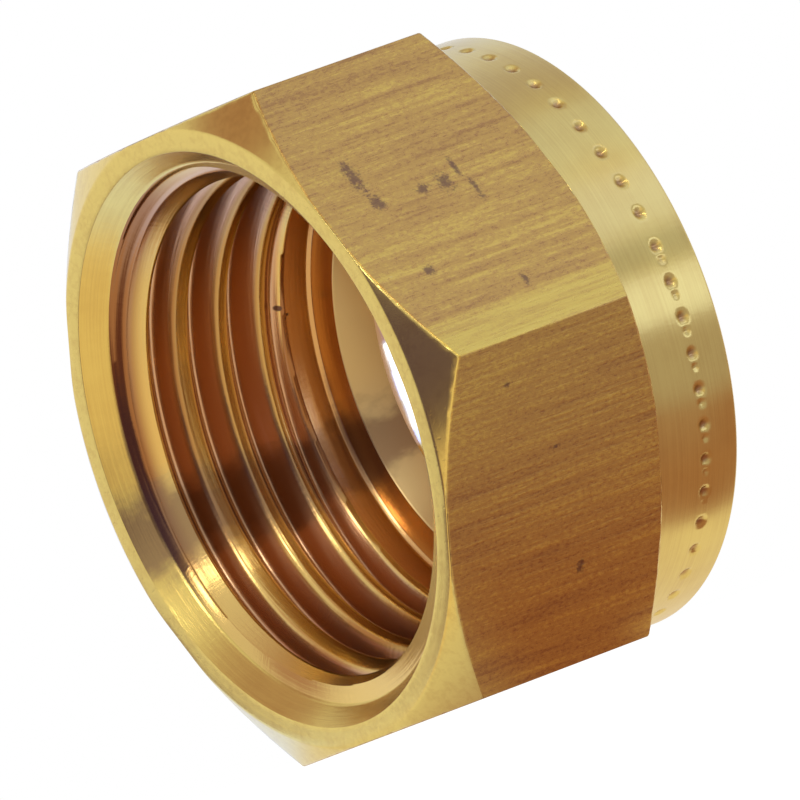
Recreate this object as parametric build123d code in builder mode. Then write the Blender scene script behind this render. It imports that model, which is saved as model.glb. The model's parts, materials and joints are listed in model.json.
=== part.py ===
from build123d import *
from math import cos, radians, tan
import os

# A compression nut, turned and milled from one piece of hexagon brass bar.
# It lies on one flat of its hexagon with its axis along Y. The threaded mouth faces -Y and the plain
# collar, where the tube leaves, faces +Y. The origin is the middle of the underside. Sizes are in mm.

# Outside
across_flats = 24.0
hexagon_length = 9.85
corner_chamfer_angle = 30.0  # from the end faces
face_overreach = 0.04  # how far each end face's circle reaches past the flats
collar_diameter = 23.3
collar_length = 3.9
collar_edge_break = 0.12

# Inside, from the mouth to the tube hole
mouth_diameter = 22.46
bevel_diameter = 21.24
bevel_length = 0.84
lead_in_length = 0.81
thread_minor_diameter = 18.631  # G 1/2
thread_length = 6.6
relief_diameter = 19.2
relief_length = 1.2
shoulder_edge_break = 0.15
shoulder_rise = 0.2  # along the axis, across the shoulder's width
seat_diameter = 16.7  # where the olive's cone begins
seat_length = 1.25
tube_hole_diameter = 15.2  # clears a 15 mm tube
tube_hole_edge_break = 0.3

# Ring of punched dimples round the collar
dimple_count = 52
dimple_width = 0.66
dimple_depth = 0.11
dimples_from_back = 1.55

total_length = hexagon_length + collar_length
corner_radius = across_flats / 2 / cos(radians(30))
face_radius = across_flats / 2 + face_overreach

# The blank is turned a little larger than the corners, so that its rim never touches them
blank_radius = corner_radius + 1.0
blank_chamfer_length = (blank_radius - face_radius) * tan(radians(corner_chamfer_angle))

mouth_centre = (0, -total_length / 2, across_flats / 2)
nut_axis = Axis(mouth_centre, (0, 1, 0))

# Profiles are drawn on a plane through the axis: x is the distance from the mouth, y is the radius
profile_plane = Plane(origin=mouth_centre, x_dir=(0, 1, 0), z_dir=(1, 0, 0))

# Hexagon sections are drawn square to the axis, with a corner to each side and a flat underneath
section_plane = Plane(origin=mouth_centre, x_dir=(1, 0, 0), z_dir=(0, 1, 0))

# The stepped bore, from the mouth's bevel to the back
mouth_radius = mouth_diameter / 2
bevel_radius = bevel_diameter / 2
minor_radius = thread_minor_diameter / 2
relief_radius = relief_diameter / 2
seat_radius = seat_diameter / 2
hole_radius = tube_hole_diameter / 2
lead_in_end = bevel_length + lead_in_length
thread_end = lead_in_end + thread_length
relief_end = thread_end + relief_length
shoulder_start = relief_end + shoulder_edge_break
seat_start = shoulder_start + shoulder_rise
seat_end = seat_start + seat_length

# The dimples are left by a round-nosed punch, which stops at their depth below the collar's surface
collar_radius = collar_diameter / 2
punch_radius = ((dimple_width / 2) ** 2 + dimple_depth**2) / (2 * dimple_depth)
punch_centre_radius = collar_radius - dimple_depth + punch_radius
dimple_plane = section_plane.offset(total_length - dimples_from_back)

with BuildPart() as compression_nut:
    # Hexagon bar
    with BuildSketch(section_plane):
        RegularPolygon(radius=across_flats / 2, side_count=6, major_radius=False)
    extrude(amount=hexagon_length)

    # Both ends of the hexagon are turned to a cone, which leaves arched edges on the flats
    with BuildSketch(profile_plane):
        with BuildLine():
            Polyline(
                (0, 0),
                (0, face_radius),
                (blank_chamfer_length, blank_radius),
                (hexagon_length - blank_chamfer_length, blank_radius),
                (hexagon_length, face_radius),
                (hexagon_length, 0),
                close=True,
            )
        make_face()
    revolve(axis=nut_axis, mode=Mode.INTERSECT)

    # Collar with a broken back edge
    with BuildSketch(profile_plane):
        with BuildLine():
            Polyline(
                (hexagon_length, 0),
                (hexagon_length, collar_radius),
                (total_length - collar_edge_break, collar_radius),
                (total_length, collar_radius - collar_edge_break),
                (total_length, 0),
                close=True,
            )
        make_face()
    revolve(axis=nut_axis)

    # Ring of dimples round the collar; one of them points to the side, towards +X
    with Locations(dimple_plane):
        with PolarLocations(punch_centre_radius, dimple_count):
            Sphere(punch_radius, mode=Mode.SUBTRACT)

    # Bevelled mouth, lead-in, thread wall, relief, shoulder, the olive's conical seat and the tube hole
    with BuildSketch(profile_plane):
        with BuildLine():
            Polyline(
                (0, 0),
                (0, mouth_radius),
                (bevel_length, bevel_radius),
                (lead_in_end, minor_radius),
                (thread_end, minor_radius),
                (thread_end, relief_radius),
                (relief_end, relief_radius),
                (shoulder_start, relief_radius - shoulder_edge_break),
                (seat_start, seat_radius),
                (seat_end, hole_radius),
                (total_length - tube_hole_edge_break, hole_radius),
                (total_length, hole_radius + tube_hole_edge_break),
                (total_length, 0),
                close=True,
            )
        make_face()
    revolve(axis=nut_axis, mode=Mode.SUBTRACT)

compression_nut.part.label = "compression_nut"

os.makedirs("parts", exist_ok=True)
export_step(compression_nut.part, "parts/compression_nut.step")
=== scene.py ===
import json
from math import atan2, cos, pi, radians, sin, sqrt, tan

import bmesh
import bpy
import numpy as np
from mathutils import Matrix, Vector


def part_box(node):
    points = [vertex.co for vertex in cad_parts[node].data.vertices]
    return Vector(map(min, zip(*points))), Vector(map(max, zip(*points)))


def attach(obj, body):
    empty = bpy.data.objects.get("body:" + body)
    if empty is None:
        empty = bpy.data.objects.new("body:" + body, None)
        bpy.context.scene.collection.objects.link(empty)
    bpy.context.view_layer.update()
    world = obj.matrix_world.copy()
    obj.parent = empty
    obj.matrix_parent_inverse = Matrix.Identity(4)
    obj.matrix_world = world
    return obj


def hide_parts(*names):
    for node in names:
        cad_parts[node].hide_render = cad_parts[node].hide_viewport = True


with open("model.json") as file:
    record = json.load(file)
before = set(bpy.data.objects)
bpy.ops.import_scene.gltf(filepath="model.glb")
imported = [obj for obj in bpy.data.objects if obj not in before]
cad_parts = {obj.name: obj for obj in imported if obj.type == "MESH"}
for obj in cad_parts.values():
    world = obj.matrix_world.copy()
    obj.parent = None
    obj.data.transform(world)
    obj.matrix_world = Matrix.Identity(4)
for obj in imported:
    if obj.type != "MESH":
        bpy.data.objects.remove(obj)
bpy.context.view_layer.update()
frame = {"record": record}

# The nut is drawn in millimetres, in its own turned coordinates: azimuth about its axis (degrees, from
# straight up towards +X), radius, and distance from the mouth's face. The frame gives the overall sizes.
MM = 0.001
low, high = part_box("compression_nut")
across_flats = (high[2] - low[2]) / MM
total_length = (high[1] - low[1]) / MM
mouth_y = low[1] / MM
axis_z = across_flats / 2
mounts = {m["name"]: m for m in frame["record"]["mounts"]}
minor_radius = mounts["thread"]["dims"]["r_mm"]
hole_radius = mounts["tube_hole"]["dims"]["r_mm"]

# Outside
hexagon_length = 9.85
corner_chamfer = tan(radians(30))  # along the axis, for each millimetre of radius
face_overreach = 0.04  # how far each end face's circle reaches past the flats
face_radius = across_flats / 2 + face_overreach
collar_radius = 23.3 / 2
collar_root_fillet = 0.15
collar_edge_break = 0.12
edge_softness = 0.09
sharp_edge_softness = 0.012
corner_rounding = 0.1
nick_depth = 0.05

# Ring of dimples round the collar; over a stretch of it each dimple was struck twice
dimple_count = 52
first_dimple_azimuth = 90
dimple_ring_z = total_length - 1.55
dimple_reach = 0.5  # to both sides of the ring
dimple_rows = 19
dimple_rim = (0.006, 1.2, 0.25)  # height; place and width as shares of the dimple's radius
columns_per_dimple = 14
first_strike = (0.29, 0.17)  # radius and depth
second_strike = (0.19, 0.1)
second_strike_azimuths = (80, 134)
second_strike_turn = 2.6  # degrees on from the first

# Inside
mouth_radius = 22.46 / 2
bevel_end_z = 0.92
bevel_end_radius = 10.56
relief_start_z = 8.25
relief_run_in = 0.05
relief_radius = 19.2 / 2
relief_end_z = 9.45
shoulder_edge_break = 0.15
seat_start_z = 9.8
seat_radius = 16.7 / 2
seat_end_z = 11.05
hole_edge_break = 0.3

# The outside's grid and the bore's end on the two end faces, this far from the edges of those faces
front_grid_gaps = (0.45, 0.2)  # both from the mouth's edge
back_grid_gap = 0.3
weld_distance = 0.00002

# G 1/2 thread, right-handed. The bore it was cut in narrows inwards, which leaves a flat land on each crest
pitch = 25.4 / 14
major_radius = 20.955 / 2
flank_angle = radians(27.5)
form_rounding = 0.137329 * pitch
first_crest = (274.0, 1.6)  # azimuth and distance from the mouth
thread_start_z = bevel_end_z + 0.05
thread_end_z = relief_start_z - 0.1
drilled_z = (bevel_end_z, 1.95, 3.5, 5.2, 7.0)
drilled_radii = (9.8, 9.74, 9.53, 9.4, minor_radius)
half_land = 0.4
land_slopes = ((1.9, 0.5), (3.2, 0.18))  # distance from the mouth, and how steeply a land narrows there
run_out_z = (7.4, 8.15)
bore_columns = 360
rows_per_pitch = 23
mouth_nick_share = 0.3


def place(azimuth, radius, z):
    """World points, in metres, for the nut's own coordinates."""
    a = np.radians(azimuth)
    x = radius * np.sin(a)
    y = mouth_y + z + 0 * a
    up = axis_z + radius * np.cos(a)
    return np.stack([x, y, up], axis=-1) * MM


def hexagon_radius(azimuth):
    """Distance from the axis to the hexagon's side, whose corners are slightly rounded."""
    from_corner = abs((azimuth % 60) - 30)
    phi = radians(from_corner)
    centre = (across_flats / 2 - corner_rounding) / cos(radians(30))
    tangent = atan2(corner_rounding / 2, centre + corner_rounding * cos(radians(30)))
    if phi < tangent:
        return centre * cos(phi) + sqrt(corner_rounding**2 - (centre * sin(phi)) ** 2)
    return across_flats / 2 / cos(radians(30) - phi)


def softened(corners):
    """Samples a profile and rounds its corners.

    corners holds (radius, z, softness); a corner with no softness gives one point and stays as it is.
    Each other corner gives five points, each the profile's mean over a short stretch to both sides."""
    rz = np.array([c[:2] for c in corners], float)
    steps = np.hypot(*np.diff(rz, axis=0).T)
    s = np.concatenate([[0], np.cumsum(steps)])
    fine = np.linspace(0, 1, 9)
    points = []
    for i, (r, z, soft) in enumerate(corners):
        if soft == 0:
            points.append((r, z))
            continue
        before = s[i] - 0.5 * (steps[i - 1] if i > 0 else 0)
        after = s[i] + 0.5 * (steps[i] if i < len(steps) else 0)
        for shift in (-1, -0.5, 0, 0.5, 1):
            at = min(max(s[i] + shift * soft, before), after)
            window = at + (2 * fine - 1) * soft
            points.append([np.interp(window, s, values).mean() for values in rz.T])
    return points


def punched(azimuth, z, start, radius, depth):
    """Height of the collar's surface with one ring of dimples, the first of them at the azimuth start."""
    spacing = 360 / dimple_count
    along = ((azimuth - start + spacing / 2) % spacing - spacing / 2) * pi / 180 * collar_radius
    d = np.hypot(along, z - dimple_ring_z) / radius
    hollow = -depth * np.clip(1 - d**1.5, 0, None)
    rim_height, rim_place, rim_width = dimple_rim
    rim = rim_height * np.exp(-(((d - rim_place) / rim_width) ** 2))
    return hollow + rim


def dimple_height(azimuth, z):
    """How far the collar's surface stands above its plain radius."""
    once = punched(azimuth, z, first_dimple_azimuth, *first_strike)
    first, last = second_strike_azimuths
    again = punched(azimuth, z, first_dimple_azimuth + second_strike_turn, *second_strike)
    twice = np.where((azimuth > first) & (azimuth < last), again, 0)
    return np.minimum(once, twice)


class Net:
    """Gathers grids of points and faces for one closed mesh."""

    def __init__(self):
        self.points = []
        self.faces = []
        self.finishes = []

    def add_points(self, xyz):
        first = len(self.points)
        self.points.extend(map(tuple, xyz.reshape(-1, 3)))
        return np.arange(first, first + len(xyz.reshape(-1, 3))).reshape(xyz.shape[:-1])

    def add_quads(self, ids, finish_of_row, wrap=0):
        """ids[column][row]; the last column joins the first, wrap rows further on."""
        count, rows = ids.shape
        for i in range(count):
            j = (i + 1) % count
            shift = wrap if j == 0 else 0
            for k in range(rows - 1):
                n = k + shift
                if n + 1 < rows:
                    self.faces.append((ids[i, k], ids[i, k + 1], ids[j, n + 1], ids[j, n]))
                    self.finishes.append(finish_of_row(k))

    def zip_rings(self, a, angles_a, b, angles_b, finish):
        """Joins two rings of points with triangles."""
        i = j = 0
        while i < len(a) or j < len(b):
            next_a = angles_a[i + 1] if i + 1 < len(a) else angles_a[0] + 360
            next_b = angles_b[j + 1] if j + 1 < len(b) else angles_b[0] + 360
            if j >= len(b) or (i < len(a) and next_a <= next_b):
                self.faces.append((a[i], a[(i + 1) % len(a)], b[j % len(b)]))
                i += 1
            else:
                self.faces.append((b[j], b[(j + 1) % len(b)], a[i % len(a)]))
                j += 1
            self.finishes.append(finish)


FLATS, FACED, BEVEL, COLLAR, BORED, DRILLED = range(6)

# Rows of the outside's grid, counted from the mouth's face
front_corner_row = 9
back_corner_row = 14
collar_row = 26
cone_rows = ((15, 0.15), (5, 0.85))  # row, and the place of one more point before the next row

# Rows of the bore's grids, counted from the mouth's face and from the relief
bevel_rows = (3, 7)
hole_rows = (28, 33)

# Azimuths of the columns that share each rounded corner, counted from its middle
corner_columns = (-0.24, -0.16, -0.08, 0, 0.08, 0.16, 0.24)


def outer_azimuths():
    count = dimple_count * columns_per_dimple
    even = [first_dimple_azimuth + 360 * i / count for i in range(count)]
    corners = [30 + 60 * k + d for k in range(6) for d in corner_columns]
    return np.array(sorted(a % 360 for a in even + corners))


def outer_profile(azimuth):
    """From the mouth's face over the hexagon and the collar to the back face."""
    side = hexagon_radius(azimuth)
    rim = min(face_radius, side)
    drop = max(0.0, side - face_radius) * corner_chamfer
    soft = edge_softness
    corners = [
        (mouth_radius + front_grid_gaps[0], 0, 0),
        (rim, 0, soft),
        (side, drop, soft),
        (side, hexagon_length - drop, soft),
        (rim, hexagon_length, soft),
        (collar_radius + collar_root_fillet, hexagon_length, 0),
        (collar_radius, hexagon_length, soft / 2),
    ]
    fine = np.linspace(dimple_ring_z - dimple_reach, dimple_ring_z + dimple_reach, dimple_rows)
    corners += [(collar_radius, z, 0) for z in fine]
    corners += [
        (collar_radius, total_length - collar_edge_break, soft / 2),
        (collar_radius - collar_edge_break, total_length, soft / 2),
        (collar_radius - collar_edge_break - back_grid_gap, total_length, 0),
    ]
    points = np.array(softened(corners))

    # One more point on each cone, near the flats, keeps the bend of the light there narrow
    for row, share in cone_rows:
        between = points[row] + share * (points[row + 1] - points[row])
        points = np.insert(points, row + 1, between, axis=0)
    return points


def nicks(count, seed):
    """Depths of small nicks along an edge, one value for each column."""
    draw = np.random.default_rng(seed)
    rough = draw.random(count)
    smooth = (rough + np.roll(rough, 1) + np.roll(rough, 2)) / 3
    rare = np.clip(smooth - 0.55, 0, None) / 0.45
    return nick_depth * (0.25 * rough + rare)


def add_outside(net):
    azimuths = outer_azimuths()
    rz = np.array([outer_profile(a) for a in azimuths])
    r, z = rz[..., 0], rz[..., 1]
    near_ring = np.abs(z - dimple_ring_z) < dimple_reach + 0.1
    r = r + np.where(near_ring, dimple_height(azimuths[:, None], z), 0)
    depths = {front_corner_row: nicks(len(azimuths), 3), back_corner_row: nicks(len(azimuths), 4)}
    for row, depth in depths.items():
        for step, share in ((-1, 0.5), (0, 1.0), (1, 0.5)):
            r[:, row + step] -= share * depth
    ids = net.add_points(place(azimuths[:, None], r, z))

    def finish(row):
        if front_corner_row <= row < back_corner_row:
            return FLATS
        return COLLAR if row >= collar_row else FACED

    net.add_quads(ids, finish)
    return azimuths, ids[:, 0], ids[:, -1]


def thread_radius(d):
    """The G thread's full form, where d is the distance along the axis from the nearest crest's middle."""
    d = np.abs(d)
    slope = 1 / tan(flank_angle)
    reach = form_rounding * cos(flank_angle)
    rise = form_rounding * (1 - sin(flank_angle))
    crest = minor_radius + form_rounding - np.sqrt(np.clip(form_rounding**2 - d**2, 0, None))
    e = pitch / 2 - d
    root = major_radius - form_rounding + np.sqrt(np.clip(form_rounding**2 - e**2, 0, None))
    flank = minor_radius + rise + (d - reach) * slope
    return np.where(d < reach, crest, np.where(e < reach, root, flank))


def threaded_radius(azimuth, z):
    """The bore's radius where it is threaded: the deepest of its cuts, which fade out before the relief."""
    u = z - first_crest[1] - pitch * (azimuth - first_crest[0]) / 360
    from_crest = (u + pitch / 2) % pitch - pitch / 2
    fade_start, fade_end = run_out_z
    fade = np.clip((fade_end - z) / (fade_end - fade_start), 0, 1)
    cut = minor_radius + (thread_radius(from_crest) - minor_radius) * fade
    on_land = np.clip(from_crest, -half_land, half_land)
    slope = np.interp(z, *np.transpose(land_slopes))
    land = np.interp(z, drilled_z, drilled_radii) - slope * on_land
    return np.maximum(cut, np.maximum(land, minor_radius))


def add_bore(net):
    azimuths = np.arange(bore_columns) * 360 / bore_columns
    a = azimuths[:, None]
    soft = edge_softness

    mouth = [
        (mouth_radius + front_grid_gaps[1], 0, 0),
        (mouth_radius, 0, sharp_edge_softness),
        (bevel_end_radius + 0.1, bevel_end_z * 0.87, 0),
        (bevel_end_radius, bevel_end_z, 0),
    ]
    mouth = np.array(softened(mouth))
    mouth_r = mouth[None, :, 0] + 0 * a
    mouth_r[:, -1] -= mouth_nick_share * nicks(bore_columns, 5)
    mouth_r = np.append(mouth_r, threaded_radius(a, thread_start_z + 0 * a), axis=1)
    mouth_z = np.append(mouth[:, 1], thread_start_z)[None, :] + 0 * a
    mouth_ids = net.add_points(place(a, mouth_r, mouth_z))

    def mouth_finish(row):
        if row < bevel_rows[0]:
            return FACED
        return BEVEL if row < bevel_rows[1] else BORED

    net.add_quads(mouth_ids, mouth_finish)

    # Rows of the threaded stretch follow the helix, so the last column meets the first one turn on
    step = pitch / rows_per_pitch
    rows = int((thread_end_z - thread_start_z) / step) + 2 * rows_per_pitch
    z = thread_start_z + (np.arange(rows)[None, :] - rows_per_pitch) * step + pitch * a / 360
    z = np.clip(z, thread_start_z, thread_end_z)
    thread_ids = net.add_points(place(a + 0 * z, threaded_radius(a, z), z))
    net.add_quads(thread_ids, lambda row: BORED, wrap=rows_per_pitch)

    inner = [
        (minor_radius, thread_end_z, 0),
        (minor_radius, relief_start_z, soft / 2),
        (relief_radius, relief_start_z + relief_run_in, soft),
        (relief_radius, relief_end_z, soft / 2),
        (relief_radius - shoulder_edge_break, relief_end_z + shoulder_edge_break, soft / 2),
        (seat_radius, seat_start_z, soft / 2),
        (hole_radius, seat_end_z, sharp_edge_softness),
        (hole_radius, total_length - hole_edge_break, soft),
        (hole_radius + hole_edge_break, total_length, soft),
        (hole_radius + hole_edge_break + back_grid_gap, total_length, 0),
    ]
    inner = np.array(softened(inner))
    inner_r = inner[None, :, 0] + 0 * a
    inner_r[:, :1] = threaded_radius(a, thread_end_z + 0 * a)
    inner_ids = net.add_points(place(a, inner_r, inner[None, :, 1] + 0 * a))

    def inner_finish(row):
        if row < hole_rows[0]:
            return BORED
        return DRILLED if row < hole_rows[1] else FACED

    net.add_quads(inner_ids, inner_finish)
    return azimuths, mouth_ids[:, 0], inner_ids[:, -1]


def make_nut(materials):
    net = Net()
    outer_angles, outer_front, outer_back = add_outside(net)
    bore_angles, bore_front, bore_back = add_bore(net)
    net.zip_rings(outer_front, outer_angles, bore_front, bore_angles, FACED)
    net.zip_rings(outer_back, outer_angles, bore_back, bore_angles, FACED)

    mesh = bpy.data.meshes.new("nut")
    mesh.from_pydata(net.points, [], [tuple(int(i) for i in f) for f in net.faces])
    mesh.polygons.foreach_set("material_index", net.finishes)
    for material in materials:
        mesh.materials.append(material)
    nut = bpy.data.objects.new("brass_nut", mesh)
    bpy.context.collection.objects.link(nut)
    tidy_mesh(mesh)
    return nut


def tidy_mesh(mesh):
    """Welds the grids' shared edges, drops what has no area and turns the faces outwards."""
    bm = bmesh.new()
    bm.from_mesh(mesh)
    bmesh.ops.remove_doubles(bm, verts=bm.verts, dist=weld_distance * MM)
    bmesh.ops.dissolve_degenerate(bm, edges=bm.edges, dist=weld_distance * MM)
    bmesh.ops.recalc_face_normals(bm, faces=bm.faces)
    for face in bm.faces:
        face.smooth = True
    bm.to_mesh(mesh)
    bm.free()


def weigh_normals(nut):
    """Large faces keep their own direction, so light bends only at the narrow rounded edges."""
    modifier = nut.modifiers.new("normals", "WEIGHTED_NORMAL")
    modifier.mode = "FACE_AREA"
    modifier.weight = 50
    modifier.keep_sharp = False


class Shader:
    """A short way to write a material's nodes."""

    def __init__(self, name):
        self.material = bpy.data.materials.new(name)
        self.material.use_nodes = True
        self.nodes = self.material.node_tree.nodes
        self.links = self.material.node_tree.links
        self.nodes.clear()

    def node(self, kind, inputs=(), **settings):
        n = self.nodes.new(kind)
        for key, value in settings.items():
            setattr(n, key, value)
        for key, value in dict(inputs).items():
            if isinstance(value, bpy.types.NodeSocket):
                self.links.new(value, n.inputs[key])
            else:
                n.inputs[key].default_value = value
        return n

    def math(self, operation, a, b=0.0):
        return self.node("ShaderNodeMath", {0: a, 1: b}, operation=operation).outputs[0]

    def add(self, a, b):
        return self.math("ADD", a, b)

    def times(self, a, b):
        return self.math("MULTIPLY", a, b)

    def length(self, a, b):
        return self.math("SQRT", self.add(self.times(a, a), self.times(b, b)))

    def wrap(self, value, low, high):
        return self.node("ShaderNodeMath", {0: value, 1: high, 2: low}, operation="WRAP").outputs[0]

    def vector(self, x, y, z):
        return self.node("ShaderNodeCombineXYZ", {0: x, 1: y, 2: z}).outputs[0]

    def noise(self, vector, scale, detail, roughness):
        inputs = {"Vector": vector, "Scale": scale, "Detail": detail, "Roughness": roughness}
        return self.node("ShaderNodeTexNoise", inputs).outputs["Fac"]

    def stretch(self, value, a, b, c, d):
        """Straight ramp from c at a to d at b."""
        return self.node("ShaderNodeMapRange", {"Value": value, 1: a, 2: b, 3: c, 4: d}).outputs[0]

    def step(self, value, a, b):
        """Smooth ramp from 0 at a to 1 at b."""
        inputs = {"Value": value, 1: a, 2: b, 3: 0.0, 4: 1.0}
        return self.node("ShaderNodeMapRange", inputs, interpolation_type="SMOOTHSTEP").outputs[0]

    def mix(self, fac, a, b):
        """Blend of two colours, each an output or three numbers."""
        a, b = (c if isinstance(c, bpy.types.NodeSocket) else (*c, 1) for c in (a, b))
        return self.node("ShaderNodeMix", {0: fac, 6: a, 7: b}, data_type="RGBA").outputs[2]

    def object_point(self):
        """The object's own coordinates: three outputs, in metres."""
        point = self.node("ShaderNodeTexCoord").outputs["Object"]
        return self.node("ShaderNodeSeparateXYZ", {0: point}).outputs

    def nut_coordinates(self):
        """Millimetres: x, y, height above the axis and radius; and the azimuth in radians."""
        point = self.object_point()
        x = self.times(point[0], 1 / MM)
        y = self.times(point[1], 1 / MM)
        up = self.math("SUBTRACT", self.times(point[2], 1 / MM), axis_z)
        radius = self.length(x, up)
        azimuth = self.math("ARCTAN2", x, up)
        return x, y, up, radius, azimuth

    def across(self, grain):
        """Direction in the surface square to its grain, along which the grain spreads reflections."""
        normal = self.node("ShaderNodeNewGeometry").outputs["Normal"]
        inputs = {0: normal, 1: grain}
        return self.node("ShaderNodeVectorMath", inputs, operation="CROSS_PRODUCT").outputs[0]

    def round_the_axis(self, azimuth):
        """Direction of the grain that turning leaves."""
        return self.vector(self.math("COSINE", azimuth), 0.0, self.times(self.math("SINE", azimuth), -1.0))

    def smudge(self, y, azimuth):
        """Painted shade: a dark band down one side of the mouth and the bore, with frayed edges."""
        frayed = self.noise(self.vector(self.times(azimuth, 7.0), self.times(y, 0.6), 2.0), 1.0, 4.0, 0.6)
        from_middle = self.math("ABSOLUTE", self.add(azimuth, -radians(shade_band_azimuth - 360)))
        edge = self.times(self.add(frayed, -0.5), 0.3)
        return self.step(self.add(from_middle, edge), *shade_band_reach)

    def bump(self, height, distance_mm):
        inputs = {"Height": height, "Distance": distance_mm * MM, "Strength": 1.0}
        return self.node("ShaderNodeBump", inputs).outputs["Normal"]

    def metal(self, colour, roughness, normal, anisotropic, tangent):
        inputs = {
            "Base Color": colour,
            "Metallic": 1.0,
            "Roughness": roughness,
            "Normal": normal,
            "Anisotropic": anisotropic,
            "Tangent": tangent,
        }
        return self.end(self.node("ShaderNodeBsdfPrincipled", inputs).outputs[0])

    def glow(self, colour, strength=1.0):
        colour = colour if isinstance(colour, bpy.types.NodeSocket) else (*colour, 1)
        return self.node("ShaderNodeEmission", {"Color": colour, "Strength": strength}).outputs[0]

    def blend(self, fac, a, b):
        """Surface a where fac is 0, and b where it is 1."""
        return self.node("ShaderNodeMixShader", {0: fac, 1: a, 2: b}).outputs[0]

    def end(self, surface):
        output = self.node("ShaderNodeOutputMaterial")
        self.links.new(surface, output.inputs["Surface"])
        return self.material


# Colours of the metal and of what lies on it, and of painted shade and a painted highlight
CUT_BRASS = (0.76, 0.57, 0.165)
DULL_BRASS = (0.66, 0.46, 0.13)
GOLD_STREAK = (0.70, 0.455, 0.09)
GOLD_EDGE = (0.74, 0.52, 0.10)
DRAWN_BRASS = (0.56, 0.32, 0.078)
DARK_DRAWN_BRASS = (0.42, 0.215, 0.065)
PALE_STREAK = (0.85, 0.70, 0.36)
STAIN = (0.15, 0.075, 0.05)
# Painted shade for the hollows of the dimples
DIMPLE_SHADE = (0.45, 0.26, 0.10)
# A painted highlight: near-white base colour
HIGHLIGHT_WHITE = (1.0, 0.99, 0.96)
LAND_BRASS = (0.78, 0.54, 0.18)
# Painted shade: the grooves get a darker brass than the lands
SHADED_GROOVE_BRASS = (0.65, 0.395, 0.23)
# Painted shade for one side of the bore
SIDE_SHADE = (0.36, 0.16, 0.06)
RELIEF_BRASS = (0.67, 0.385, 0.15)
SEAT_BRASS = (0.72, 0.54, 0.25)
# Painted shade for a band down one side of the mouth and the bore
SHADE_BAND = (0.28, 0.16, 0.09)

# Painted shade down one side of the mouth and the bore: how far from its middle it ends and is full, in
# radians
shade_band_azimuth = 260.0
shade_band_reach = (0.21, 0.07)

# Painted shade on one side of the bore, over each turn just before its crest and over the first groove:
# where that ends and is full, in degrees
shaded_side_azimuth = 300.0
shaded_side_reach = (65, 40)

# The painted highlight in the tube hole, a near-white patch of base colour; its half sizes are in degrees
# round the hole and millimetres along it
highlight_azimuth = 274.0
highlight_y = 4.2
highlight_half_sizes = (20, 0.8)

# Nicks at the thread's end: azimuth, distance from the mouth, and half sizes round the bore and along it
bore_nicks = [(299.0, 8.02, 0.13, 0.14), (296.5, 8.36, 0.09, 0.22)]

# Stains on the flats: the flat's number, where 0 is the top one, then distance across it from its middle,
# distance from the mouth, and half sizes across and along
stains = [
    (1, -1.9, 2.25, 0.75, 0.28),
    (1, -0.55, 2.4, 0.35, 0.3),
    (1, -0.45, 4.45, 0.25, 0.3),
    (1, -0.4, 5.4, 0.45, 0.3),
    (1, -0.9, 6.2, 0.5, 0.12),
    (1, 0.4, 6.4, 0.6, 0.14),
    (1, 3.0, 2.4, 0.25, 0.3),
    (1, 4.7, 5.6, 0.3, 0.14),
    (2, -5.15, 3.1, 0.1, 0.18),
    (2, -2.0, 5.1, 0.09, 0.2),
    (2, 3.1, 5.85, 0.25, 0.18),
]


def milled_brass():
    """The flats: streaks along the axis from the drawing die, a mottled skin and a few stains."""
    m = Shader("milled_brass")
    _, y, _, radius, azimuth = m.nut_coordinates()
    flat = m.math("ROUND", m.math("DIVIDE", azimuth, pi / 3))
    turn = m.math("SUBTRACT", azimuth, m.times(flat, pi / 3))
    side = m.times(radius, m.math("SINE", turn))
    seed = m.times(flat, 5.3)

    broad = m.noise(m.vector(m.times(side, 0.8), m.times(y, 0.03), seed), 1.0, 3.0, 0.6)
    fine = m.noise(m.vector(m.times(side, 3.2), m.times(y, 0.15), seed), 1.6, 4.0, 0.7)
    skin = m.noise(m.vector(m.times(side, 5.0), m.times(y, 2.6), seed), 1.6, 4.0, 0.75)
    right_flat = m.math("COMPARE", flat, 1.0)
    edge = m.times(m.step(m.add(side, m.times(broad, 1.6)), 5.9, 6.9), right_flat)

    streak = m.add(m.times(m.add(broad, -0.5), 1.8), m.times(m.add(fine, -0.5), 1.6))
    mottle = m.times(m.add(skin, -0.5), 2.0)
    tone = m.add(m.add(m.add(streak, mottle), 0.5), m.times(edge, 0.2))
    colour = m.mix(m.step(tone, 0.5, 0.0), DRAWN_BRASS, DARK_DRAWN_BRASS)
    colour = m.mix(m.step(tone, 0.5, 1.0), colour, GOLD_STREAK)
    colour = m.mix(m.times(m.step(tone, 1.05, 1.6), 0.5), colour, PALE_STREAK)
    colour = m.mix(m.times(edge, m.stretch(fine, 0.35, 0.6, 0.3, 0.9)), colour, GOLD_EDGE)

    frayed = m.times(m.add(m.noise(m.vector(side, y, seed), 5.0, 4.0, 0.75), -0.5), 4.2)
    for number, place_across, from_mouth, half_across, half_along in stains:
        from_middle = m.math("DIVIDE", m.add(side, -place_across), half_across)
        along = m.math("DIVIDE", m.add(y, -(mouth_y + from_mouth)), half_along)
        distance = m.length(from_middle, along)
        cover = m.step(m.add(distance, frayed), 1.3, 0.3)
        here = m.math("COMPARE", flat, float(number))
        colour = m.mix(m.times(m.times(cover, here), 0.75), colour, STAIN)

    height = m.add(m.add(fine, m.times(skin, 0.5)), m.times(broad, 0.6))
    roughness = m.stretch(skin, 0.3, 0.7, 0.24, 0.4)
    grain = m.vector(0.0, 1.0, 0.0)
    return m.metal(colour, roughness, m.bump(height, 0.03), 0.5, m.across(grain))


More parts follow.
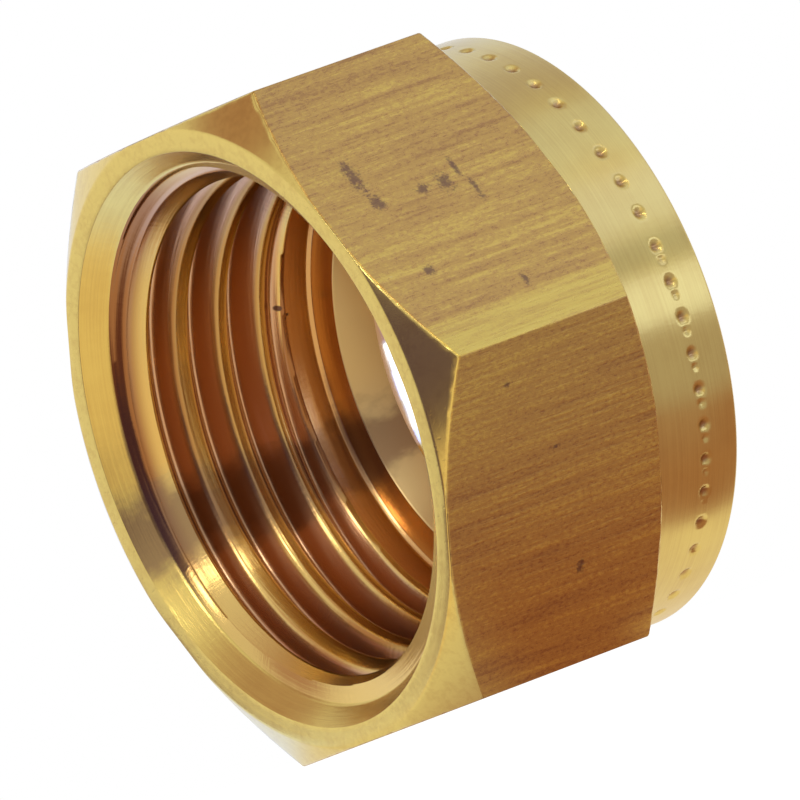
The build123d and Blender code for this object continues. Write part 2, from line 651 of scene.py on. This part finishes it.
def faced_brass():
    """The end faces and the hexagon's cones: bright cut metal with faint rings and small pits."""
    m = Shader("faced_brass")
    x, y, up, radius, azimuth = m.nut_coordinates()
    rings = m.noise(m.vector(m.times(radius, 4.0), m.times(y, 4.0), azimuth), 2.2, 3.0, 0.6)
    blotches = m.noise(m.vector(x, y, up), 0.9, 4.0, 0.65)
    pits = m.step(m.noise(m.vector(x, y, up), 5.0, 2.0, 0.5), 0.36, 0.28)
    speckle = m.noise(m.vector(x, y, up), 3.6, 4.0, 0.7)
    shade = m.add(m.times(blotches, 0.5), m.times(speckle, 0.5))
    colour = m.mix(m.stretch(shade, 0.46, 0.62, 0.0, 0.6), CUT_BRASS, DULL_BRASS)
    height = m.add(m.times(rings, 0.6), m.times(pits, -0.5))
    return m.metal(colour, 0.2, m.bump(height, 0.0025), 0.3, m.across(m.round_the_axis(azimuth)))


def turned_brass(name, roughness, anisotropic, chatter_height, dimple_shaded=False, shade_banded=False):
    """Fine rings and short chatter marks across them.

    The collar has painted shade in the hollows of its dimples, and the mouth's bevel a band of painted shade
    down one side."""
    m = Shader(name)
    x, y, up, radius, azimuth = m.nut_coordinates()
    rings = m.noise(m.vector(m.times(radius, 5.0), m.times(y, 5.0), m.times(azimuth, 0.7)), 2.4, 4.0, 0.7)
    chatter = m.noise(m.vector(m.times(azimuth, 55.0), m.times(y, 1.2), radius), 1.0, 2.0, 0.6)
    blotches = m.noise(m.vector(x, y, up), 0.5, 4.0, 0.6)
    shade = m.add(m.times(blotches, 0.45), m.times(rings, 0.55))
    colour = m.mix(m.stretch(shade, 0.42, 0.62, 0.0, 0.75), CUT_BRASS, DULL_BRASS)
    # Painted shade in the hollows of the dimples, darker the deeper they go
    if dimple_shaded:
        from_ring = m.math("ABSOLUTE", m.add(y, -(mouth_y + dimple_ring_z)))
        hollow = m.step(radius, collar_radius - 0.05, collar_radius - 0.15)
        colour = m.mix(m.times(hollow, m.step(from_ring, 0.7, 0.5)), colour, DIMPLE_SHADE)
    # Painted shade: a dark band down one side of the bevel
    if shade_banded:
        colour = m.mix(m.times(m.smudge(y, azimuth), 0.8), colour, SHADE_BAND)
    height = m.add(rings, m.times(chatter, chatter_height))
    normal = m.bump(height, 0.006)
    return m.metal(colour, roughness, normal, anisotropic, m.across(m.round_the_axis(azimuth)))


def bored_brass():
    """The thread, relief, shoulder and seat: deep coloured metal with chatter marks across its rings, with
    painted shade in the grooves and down one side.
    """
    m = Shader("bored_brass")
    _, y, _, radius, azimuth = m.nut_coordinates()
    rings = m.noise(m.vector(m.times(radius, 4.0), m.times(y, 4.0), azimuth), 2.2, 3.0, 0.6)
    chatter = m.noise(m.vector(m.times(azimuth, 70.0), m.times(y, 1.5), radius), 1.0, 2.0, 0.6)
    from_mouth = m.add(y, -mouth_y)
    land = m.stretch(from_mouth, drilled_z[0], drilled_z[-1], drilled_radii[0], drilled_radii[-1])
    # Painted shade: where the bore is cut deeper than the lands, a darker brass
    groove = m.step(m.math("SUBTRACT", radius, land), 0.1, 0.3)
    # Painted shade on one side of the bore, over each turn just before its crest and over the first groove
    from_shaded_side = m.math("ABSOLUTE", m.add(azimuth, -radians(shaded_side_azimuth - 360)))
    shaded_side = m.step(from_shaded_side, *map(radians, shaded_side_reach))
    turned = m.times(m.add(azimuth, -radians(first_crest[0])), pitch / (2 * pi))
    from_first = m.add(m.add(from_mouth, -first_crest[1]), m.times(turned, -1.0))
    from_crest = m.wrap(from_first, -pitch / 2, pitch / 2)
    start = m.mix(shaded_side, LAND_BRASS, SIDE_SHADE)
    colour = m.mix(m.times(shaded_side, m.step(from_crest, 0.15, -0.5)), LAND_BRASS, SIDE_SHADE)
    colour = m.mix(groove, colour, m.mix(m.step(from_mouth, 1.2, 1.6), start, SHADED_GROOVE_BRASS))
    colour = m.mix(m.step(from_mouth, relief_start_z, relief_start_z + 0.1), colour, RELIEF_BRASS)
    seat = m.step(radius, seat_radius + 0.06, seat_radius - 0.02)
    colour = m.mix(seat, colour, SEAT_BRASS)
    # Painted shade: a dark band down one side of the bore
    colour = m.mix(m.times(m.smudge(y, azimuth), 0.75), colour, SHADE_BAND)
    for nick_azimuth, nick_z, half_round, half_along in bore_nicks:
        turn = m.times(m.add(azimuth, -radians(nick_azimuth - 360)), minor_radius / half_round)
        along = m.times(m.add(from_mouth, -nick_z), 1 / half_along)
        colour = m.mix(m.step(m.length(turn, along), 1.1, 0.6), colour, STAIN)

    height = m.times(m.add(rings, m.times(chatter, 0.6)), m.stretch(seat, 0.0, 1.0, 1.0, 0.25))
    roughness = m.stretch(seat, 0.0, 1.0, 0.22, 0.38)
    return m.metal(colour, roughness, m.bump(height, 0.007), 0.6, m.across(m.round_the_axis(azimuth)))


def drilled_brass():
    """The tube hole: reamed smooth, with a painted highlight, a near-white patch of base colour where the
    hole also mirrors the white strip behind the nut.
    """
    m = Shader("drilled_brass")
    _, y, _, radius, azimuth = m.nut_coordinates()
    rings = m.noise(m.vector(radius, m.times(y, 4.0), azimuth), 2.0, 2.0, 0.5)
    half_turn, half_along = highlight_half_sizes
    turn = m.times(m.add(azimuth, -radians(highlight_azimuth - 360)), 1 / radians(half_turn))
    along = m.times(m.add(y, -highlight_y), 1 / half_along)
    # Painted highlight: a near-white patch of base colour
    colour = m.mix(m.step(m.length(turn, along), 1.05, 0.95), CUT_BRASS, HIGHLIGHT_WHITE)
    return m.metal(colour, 0.07, m.bump(rings, 0.0005), 0.2, m.across(m.round_the_axis(azimuth)))


def direction(azimuth, elevation):
    """Unit vector; azimuth 0 points along -Y, 90 along +X."""
    a, e = radians(azimuth), radians(elevation)
    return Vector((sin(a) * cos(e), -cos(a) * cos(e), sin(e)))


def make_panel(name, half_across, half_along):
    """A flat rectangle about its own origin."""
    mesh = bpy.data.meshes.new(name)
    corners = [(-1, -1), (1, -1), (1, 1), (-1, 1)]
    mesh.from_pydata([(half_across * u, half_along * v, 0) for u, v in corners], [], [(0, 1, 2, 3)])
    panel = bpy.data.objects.new(name, mesh)
    bpy.context.collection.objects.link(panel)
    return panel


def make_card(name, centre, along, across, colour, strength, edge, rounded=True, window=None):
    """A flat panel of light or shade that only reflections see.

    centre is its place in metres, and along and across are its half sizes. edge is the share that fades out.
    window is a round opening, as shares of the half sizes: its place across and along, and its radius."""
    half_across, half_along = across.length, along.length
    card = make_panel(name, half_across, half_along)
    outwards = across.cross(along)
    axes = Matrix((across.normalized(), along.normalized(), outwards.normalized())).transposed()
    card.matrix_world = Matrix.Translation(centre) @ axes.to_4x4()
    card.visible_camera = False
    card.visible_shadow = False
    card.visible_diffuse = False

    m = Shader(name)
    point = m.object_point()
    u = m.times(point[0], 1 / half_across)
    v = m.times(point[1], 1 / half_along)
    if rounded:
        reach = m.length(u, v)
    else:
        reach = m.math("MAXIMUM", m.math("ABSOLUTE", u), m.math("ABSOLUTE", v))
    cover = m.step(reach, 1.0, 1.0 - edge)
    if window:
        window_across, window_along, window_radius = window
        from_window = m.length(m.add(u, -window_across), m.add(v, -window_along))
        cover = m.times(cover, m.step(from_window, window_radius * 0.95, window_radius))
    clear = m.node("ShaderNodeBsdfTransparent").outputs[0]
    card.data.materials.append(m.end(m.blend(cover, clear, m.glow(colour, strength))))


nut_middle = Vector((0, 0, axis_z * MM))
card_distance = 0.4  # metres

# The photograph's camera: its place, lens and turn, in millimetres and degrees
camera_place = Vector((513.66, -316.79, 0.324)) * MM
camera_lens = 724.83
camera_turn = (91.1419, 20.7929, 58.7689)
to_camera = (camera_place - nut_middle).normalized()


def facing_card(name, towards, half_width, half_height, colour, strength=1.0, edge=0.3):
    """A rounded card in the given direction, with its half sizes in degrees."""
    level = Vector((0, 0, 1)).cross(towards).normalized()
    upright = towards.cross(level)
    centre = nut_middle + card_distance * towards
    across = level * card_distance * tan(radians(half_width))
    along = upright * card_distance * tan(radians(half_height))
    make_card(name, centre, along, across, colour, strength, edge)


def mirrored(azimuth):
    """Where the collar's side at this azimuth sends the camera's view."""
    a = radians(azimuth)
    normal = Vector((sin(a), 0, cos(a)))
    return 2 * normal.dot(to_camera) * normal - to_camera


def band_card(name, first, last, colour, distance=card_distance):
    """A card that the collar mirrors as an even band between two azimuths."""
    middle = (mirrored(first) + mirrored(last)).normalized()
    along = (mirrored(last) - mirrored(first)) * distance / 2
    across = middle.cross(along).normalized() * distance * tan(radians(35))
    start = place((first + last) / 2, collar_radius, dimple_ring_z)
    centre = Vector(start) + distance * middle
    make_card(name, centre, along, across, colour, 1.0, edge=0.08, rounded=False)


def make_world():
    """Even pale light, with white behind the nut."""
    world = bpy.data.worlds.new("studio")
    bpy.context.scene.world = world
    world.use_nodes = True
    nodes, links = world.node_tree.nodes, world.node_tree.links
    nodes.clear()
    path = nodes.new("ShaderNodeLightPath").outputs
    plain = nodes.new("ShaderNodeBackground")
    plain.inputs["Color"].default_value = (0.82, 0.81, 0.80, 1)
    white = nodes.new("ShaderNodeBackground")
    white.inputs["Color"].default_value = (1, 1, 1, 1)
    mix = nodes.new("ShaderNodeMixShader")
    links.new(path["Is Camera Ray"], mix.inputs[0])
    links.new(plain.outputs[0], mix.inputs[1])
    links.new(white.outputs[0], mix.inputs[2])
    output = nodes.new("ShaderNodeOutputWorld")
    links.new(mix.outputs[0], output.inputs["Surface"])


def make_floor():
    """A pale floor that is white where it is lit and keeps the nut's shadow.

    Reflections see painted reflections on it instead: patches placed in millimetres, cool to the left, warm
    in front of the mouth, painted shade further out in front, grey to the right with a painted shadow in
    brown close by, and nearly white under the collar."""
    floor = make_panel("floor", 3.0, 3.0)
    m = Shader("floor")
    path = m.node("ShaderNodeLightPath").outputs
    cloth = m.node("ShaderNodeBsdfDiffuse", {"Color": (0.8, 0.8, 0.8, 1)}).outputs[0]
    lift = m.glow((1, 1, 1), m.times(path["Is Camera Ray"], 0.5))
    seen = m.node("ShaderNodeAddShader", {0: cloth, 1: lift}).outputs[0]

    point = m.object_point()
    x, y = m.times(point[0], 1 / MM), m.times(point[1], 1 / MM)

    def patch(x_edge, y_edge):
        """1 where x and y are both past the second number of their edge, and 0 before the first."""
        return m.times(m.step(x, *x_edge), m.step(y, *y_edge))

    # A painted shadow of the nut, brown, beside it on the right, seen only in reflections
    near = m.times(patch((22.0, 10.0), (-9.0, -2.0)), m.step(y, 10.5, 9.0))
    beyond = patch((20.0, 16.5), (9.0, 10.5))
    painted_shadow_beside = m.times(m.add(near, beyond), m.step(x, 2.0, 4.0))
    colour = m.mix(patch((-4.0, -12.0), (-36.0, -24.0)), (0.95, 0.93, 0.88), (0.95, 1.1, 1.6))
    for cover, patch_colour in (
        (patch((-16.0, -11.0), (-9.0, -15.0)), (0.98, 0.84, 0.65)),
        (patch((0.0, 10.0), (-14.0, -4.0)), (0.57, 0.54, 0.66)),
        (painted_shadow_beside, (0.46, 0.25, 0.20)),
        (patch((4.0, -10.0), (-28.0, -42.0)), (0.30, 0.16, 0.13)),
        (patch((80.0, 30.0), (-42.0, -90.0)), (0.14, 0.10, 0.20)),
        (patch((8.2, 7.4), (0.0, 5.0)), (1.0, 0.94, 0.9)),
    ):
        colour = m.mix(cover, colour, patch_colour)
    # Reflections see the painted patches instead of the lit floor
    floor.data.materials.append(m.end(m.blend(path["Is Glossy Ray"], seen, m.glow(colour))))


def make_camera():
    """The photograph's view: a long lens close to the floor, tilted to one side."""
    data = bpy.data.cameras.new("camera")
    data.sensor_width = 36
    data.lens = camera_lens
    data.clip_start = 0.01
    data.clip_end = 10
    camera = bpy.data.objects.new("camera", data)
    bpy.context.collection.objects.link(camera)
    camera.location = camera_place
    camera.rotation_euler = [radians(v) for v in camera_turn]
    bpy.context.scene.camera = camera


make_camera()
make_world()
make_floor()

# Shade and light in front of the nut and to its left
facing_card("shade_above", direction(-30, 66), 33, 15, (0.55, 0.39, 0.37))
facing_card("shade_middle", direction(26, 5), 14, 19, (0.22, 0.16, 0.18), edge=0.25)
facing_card("shade_front", direction(-6, 1), 27, 21, (0.14, 0.10, 0.22), edge=0.25)
facing_card("lamp_front", direction(12, 31), 6, 6, (1.0, 0.97, 0.9), 12.0, edge=0.2)
facing_card("lamp_side", direction(66, 44), 6, 5, (1.0, 0.97, 0.9), 9.0, edge=0.2)
facing_card("shade_high_left", direction(-41, 40), 15, 14, (0.46, 0.27, 0.25), edge=0.4)
facing_card("light_left", direction(-80, 8), 40, 30, (0.98, 0.98, 0.96), edge=0.25)
facing_card("light_far_left", direction(-116, 4), 18, 24, (0.95, 1.1, 1.6))

# Bands that the collar mirrors, from its top down its right side, between azimuths
band_card("band_top", 8, 31, (0.85, 0.97, 1.35))
band_card("band_upper_shade", 31, 49, (0.60, 0.58, 0.76))
band_card("band_upper", 49, 66, (0.82, 0.93, 1.35))
band_card("band_bright", 66, 80, (0.96, 1.1, 1.8))
band_card("band_grey", 80, 86.5, (0.57, 0.62, 0.85))
band_card("band_low", 86.5, 98, (1.2, 1.4, 2.2), distance=0.045)

# Behind the tube hole it is dark, apart from a small opening towards a white strip, which the hole mirrors
shade_gap = 0.3
shade_radius = 8.4
opening = (-3.3, 0.1, 1.0)  # its place across and up from the axis, and its radius
make_card(
    "shade_behind",
    Vector((0, total_length / 2 + shade_gap, axis_z)) * MM,
    Vector((0, 0, shade_radius)) * MM,
    Vector((shade_radius, 0, 0)) * MM,
    (0.45, 0.25, 0.12),
    1.0,
    edge=0.01,
    window=[v / shade_radius for v in opening],
)

strip_middle = (6.65, 13.61, 11.6)
strip_half_height = 5.2
strip_half_width = 1.2
strip_across = (0.519, -0.854, 0)
make_card(
    "strip_behind",
    Vector(strip_middle) * MM,
    Vector((0, 0, strip_half_height)) * MM,
    Vector(strip_across) * strip_half_width * MM,
    (1, 1, 1),
    2.0,
    edge=0.03,
    rounded=False,
)

bevel_brass = turned_brass("bevel_brass", 0.24, 0.3, 0.6, shade_banded=True)
collar_brass = turned_brass("collar_brass", 0.3, 0.9, 0.3, dimple_shaded=True)

nut = make_nut([milled_brass(), faced_brass(), bevel_brass, collar_brass, bored_brass(), drilled_brass()])
weigh_normals(nut)
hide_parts("compression_nut")
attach(nut, "root")

bpy.context.scene.view_settings.view_transform = "Standard"
